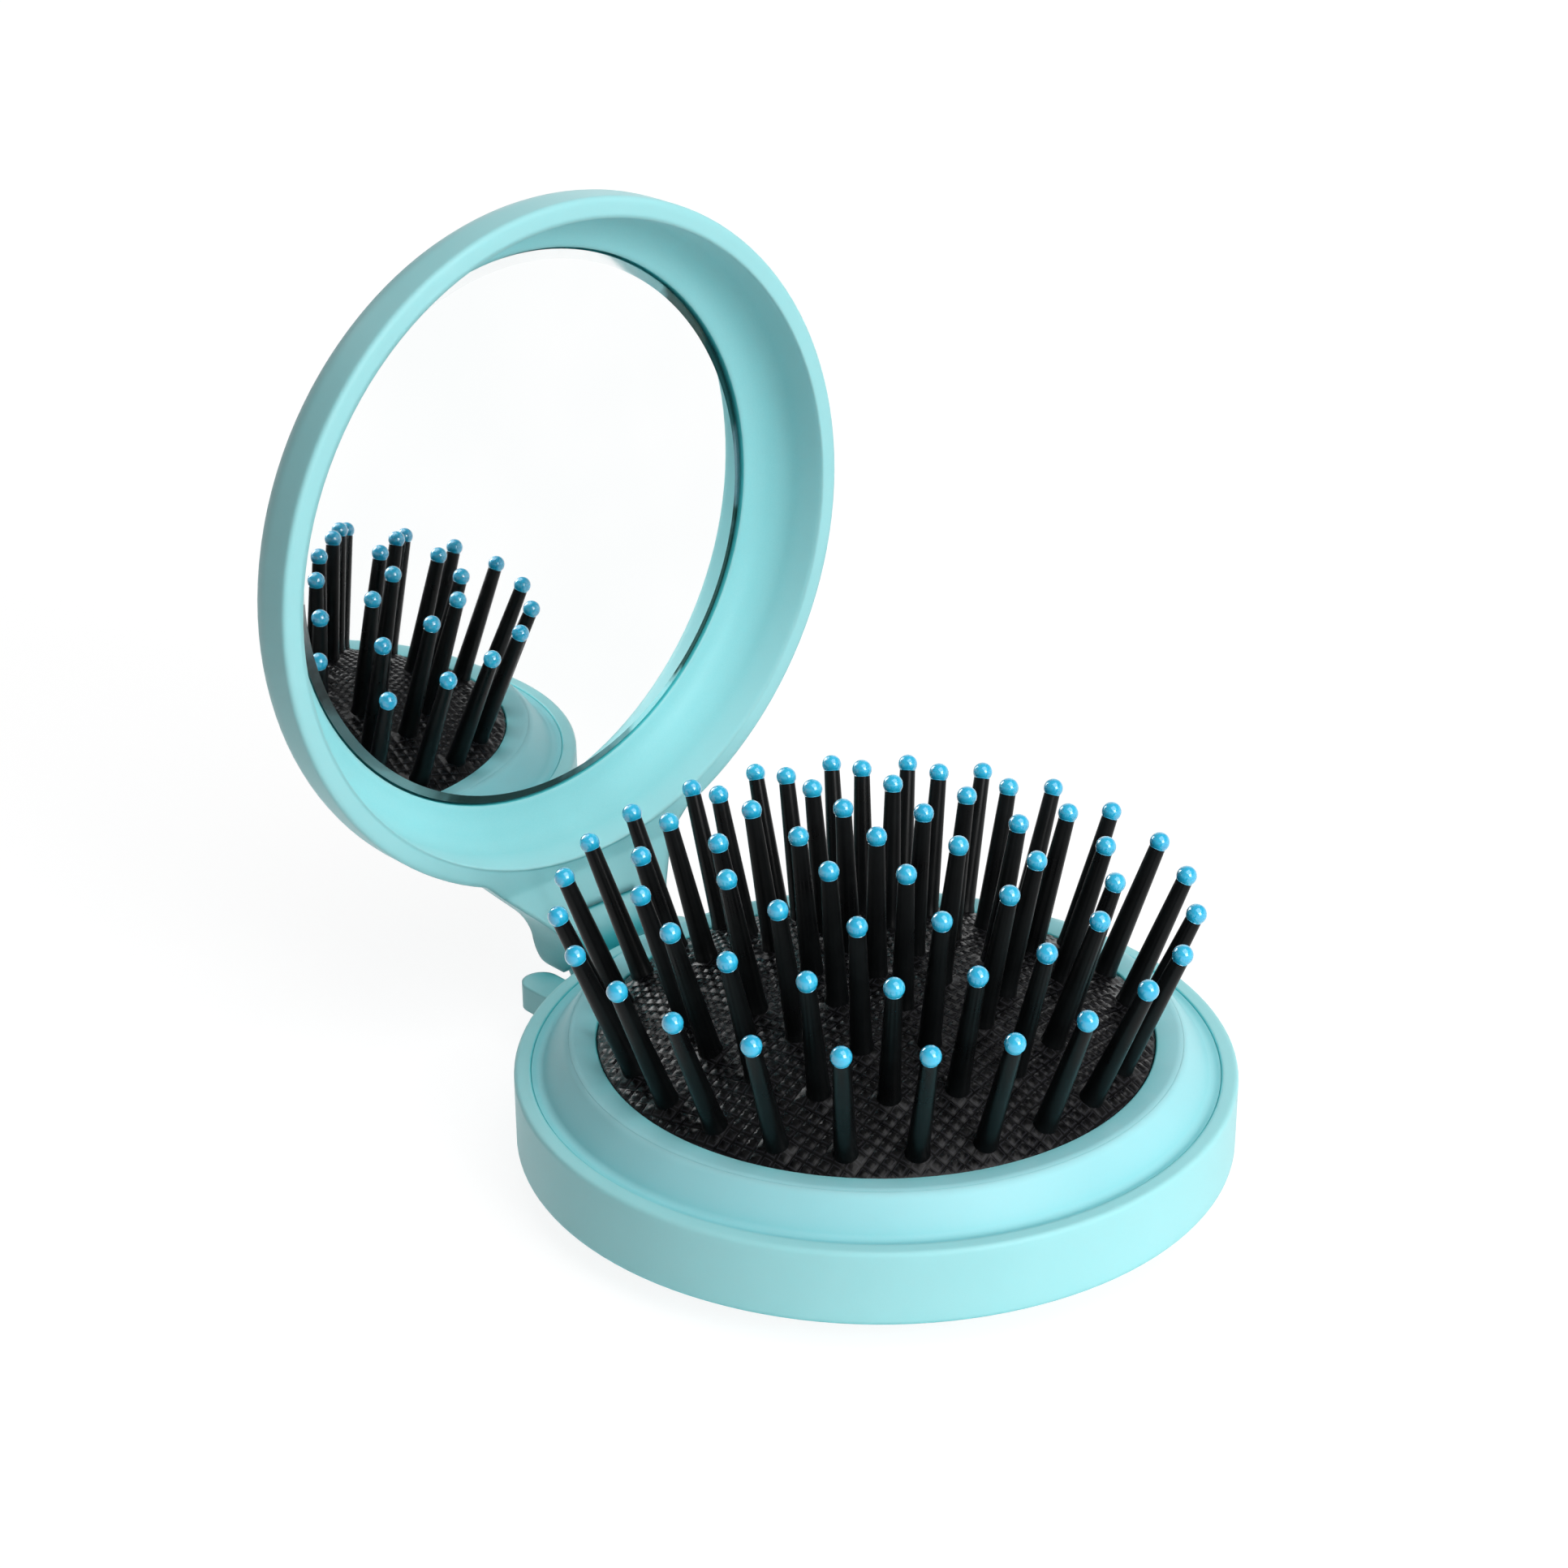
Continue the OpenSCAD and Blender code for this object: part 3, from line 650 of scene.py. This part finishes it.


# natural rubber, pressed against a netted mould: soft black with specks of about 0.7 mm and a dull shine;
# painted shade darkens the grooves, a painted sheen greys the flanks, and the tiles go darker towards their
# middles
def embossedRubber():
    m = cushionMake
    material, tree, place = newMaterial("blackEmbossedRubber")
    net = addNode(tree, "Mapping", {"Vector": place, "Rotation": (0, 0, -math.radians(m["netTurn"])),
                                    "Scale": (1 / (m["tile"] * mm), 1 / (m["tile"] * mm), 0)})
    across = addNode(tree, "SeparateXYZ", {0: net})
    sides = []
    for axis in ("X", "Y"):
        ahead = addNode(tree, "Math", {0: across.outputs[axis], 1: 0.5}, operation="ADD")
        part = addNode(tree, "Math", {0: ahead, 1: 1.0}, operation="FLOORED_MODULO")
        off = addNode(tree, "Math", {0: part, 1: 0.5}, operation="SUBTRACT")
        sides.append(addNode(tree, "Math", {0: off}, operation="ABSOLUTE"))
    edge = addNode(tree, "Math", {0: sides[0], 1: sides[1]}, operation="MAXIMUM")
    # flat runs from a groove's bottom onto the tile, and places the painted shade and sheen
    flat = addNode(tree, "MapRange", {"Value": edge, "From Min": 0.5 - m["groove"][0],
                                      "From Max": 0.5 - m["groove"][1]}, interpolation_type="SMOOTHSTEP")
    dust = addNode(tree, "TexNoise", {"Vector": place, "Scale": 1500.0, "Detail": 2.0})
    # painted shade in the grooves and painted sheen on the flanks, by place in the net, plus the specks
    shadingLayer = addNode(tree, "Math", {0: dust, 1: 0.1, 2: flat}, operation="MULTIPLY_ADD")
    tint = addNode(tree, "ValToRGB", {"Fac": shadingLayer}, [(0.08, "#030304"), (0.45, "#26262a"), (0.8, "#131315"),
                                                     (1.0, "#070708")])
    dull = addNode(tree, "MapRange", {"Value": dust, "From Min": 0.3, "From Max": 0.7,
                                      "To Min": 0.24, "To Max": 0.28})
    bump = addNode(tree, "Bump", {"Height": dust, "Distance": 0.003 * mm, "Strength": 0.1})
    shader = addNode(tree, "BsdfPrincipled", {"Base Color": tint, "Roughness": dull, "IOR": 1.52,
                                              "Specular IOR Level": 0.22, "Normal": bump})
    addNode(tree, "OutputMaterial", {"Surface": shader})
    return material


cushion = makeCushion()
cushion.data.materials.append(embossedRubber())
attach(cushion, "carrier")
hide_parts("cushion")
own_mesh(cushion)
print("cushion made:", len(cushion.data.polygons), "faces")


mirrorMake = {
    "centre": (0, 49.0, 49.5),  # mm, middle of the face
    "radius": 28.2,
    "thickness": 1.3,
    "bevelWidth": 0.9,          # ground bevel round the face
    "bevelDepth": 0.25,
    "backCut": 0.1,             # corner cut off round the back
    "lean": 0.7,                # degrees by which the face leans back on its foam
    "segments": 192,
    "sharp": 8,                 # degrees
}


# a turned disc whose face leans and whose back lies flat in the seat:
# y + tan(lean) * (z - middle) * (1 - depth / thickness)
def makeMirror():
    m = mirrorMake
    radius, back, cut = m["radius"], -m["thickness"], m["backCut"]
    profile = np.array([[0, 0], [radius - m["bevelWidth"], 0], [radius, -m["bevelDepth"]],
                        [radius, back + cut], [radius - cut, back], [0, back]])
    points, quads = turned(profile, np.array(m["centre"]), np.array([0, -1.0, 0]), m["segments"])
    depth = (points[..., 1] - m["centre"][1]) / m["thickness"]
    points[..., 1] += math.tan(math.radians(m["lean"])) * (points[..., 2] - m["centre"][2]) * (1 - depth)
    # the face is silvered glass, and all round and behind it the ground edge
    bands = np.repeat([0, 1, 1, 1, 1], m["segments"])
    return makePiece("mirrorGlass", points * mm, quads, m["sharp"], bands)


# float glass, silvered: a clean, faintly cool reflection with a barely visible haze
def silveredGlass():
    material, tree, place = newMaterial("silveredGlass")
    haze = addNode(tree, "TexNoise", {"Vector": place, "Scale": 60.0, "Detail": 2.0})   # about 17 mm
    tint = addNode(tree, "ValToRGB", {"Fac": haze}, [(0.3, "#fbfdfd"), (0.7, "#feffff")])
    polish = addNode(tree, "MapRange", {"Value": haze, "To Min": 0.005, "To Max": 0.02})
    shader = addNode(tree, "BsdfPrincipled", {"Base Color": tint, "Metallic": 1.0, "Roughness": polish})
    addNode(tree, "OutputMaterial", {"Surface": shader})
    return material


groundMake = {
    "stops": [(-130, "#a3a8a8"), (-110, "#363b38"), (-84, "#363b38"), (-74, "#8d8f90"), (-66, "#b5b7b8"),
              (-61, "#ffffff"), (-50, "#ffffff"), (-45, "#46524a"), (-12, "#35423b"), (-6, "#a5a2aa"),
              (6, "#a5a2aa"), (12, "#3c6262"), (28, "#3f5f5e"), (34, "#857b73"), (46, "#9d9691"),
              (52, "#fdffff")],
    "uneven": 0.06,         # share of a turn by which the colours' ends waver
    "marksScale": 900.0,    # per metre: marks of about 1 mm
    "unevenScale": 400.0,   # per metre: about 2.5 mm
}


# the same glass where it is ground, with the wheel's marks. Its colours are painted, not reflected: they
# stand for what so narrow an edge mirrors, clean over the top, and dark, grey or bright in turn round the
# rest. A stop's place is its angle round the face, from -180 to 180 degrees
def groundGlass():
    m = groundMake
    material, tree, place = newMaterial("groundGlassEdge")
    marks = addNode(tree, "TexNoise", {"Vector": place, "Scale": m["marksScale"], "Detail": 2.0})
    paintedReflectionWaver = addNode(tree, "TexNoise", {"Vector": place, "Scale": m["unevenScale"], "Detail": 2.0})
    middle = tuple(np.array(mirrorMake["centre"]) * mm)
    fromMiddle = addNode(tree, "VectorMath", {0: place, 1: middle}, operation="SUBTRACT")
    part = addNode(tree, "SeparateXYZ", {0: fromMiddle})
    angle = addNode(tree, "Math", {0: part.outputs["Z"], 1: part.outputs["X"]}, operation="ARCTAN2")
    turn = addNode(tree, "Math", {0: angle, 1: 1 / (2 * math.pi), 2: 0.5 - m["uneven"] / 2},
                   operation="MULTIPLY_ADD")
    # noise wavers the places where the painted reflection's colours change round the edge
    uneven = addNode(tree, "Math", {0: paintedReflectionWaver, 1: m["uneven"], 2: turn}, operation="MULTIPLY_ADD")
    tint = addNode(tree, "ValToRGB", {"Fac": uneven},
                   [((degrees + 180) / 360, colour) for degrees, colour in m["stops"]])
    rough = addNode(tree, "MapRange", {"Value": marks, "To Min": 0.06, "To Max": 0.2})
    bump = addNode(tree, "Bump", {"Height": marks, "Distance": 0.01 * mm, "Strength": 0.4})
    shader = addNode(tree, "BsdfPrincipled", {"Base Color": tint, "Metallic": 0.9, "Roughness": rough,
                                              "Normal": bump})
    addNode(tree, "OutputMaterial", {"Surface": shader})
    return material


mirror = makeMirror()
mirror.data.materials.append(silveredGlass())
mirror.data.materials.append(groundGlass())
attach(mirror, "lid")
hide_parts("mirror_glass")
print("mirror made")


scene.view_settings.view_transform = "Standard"
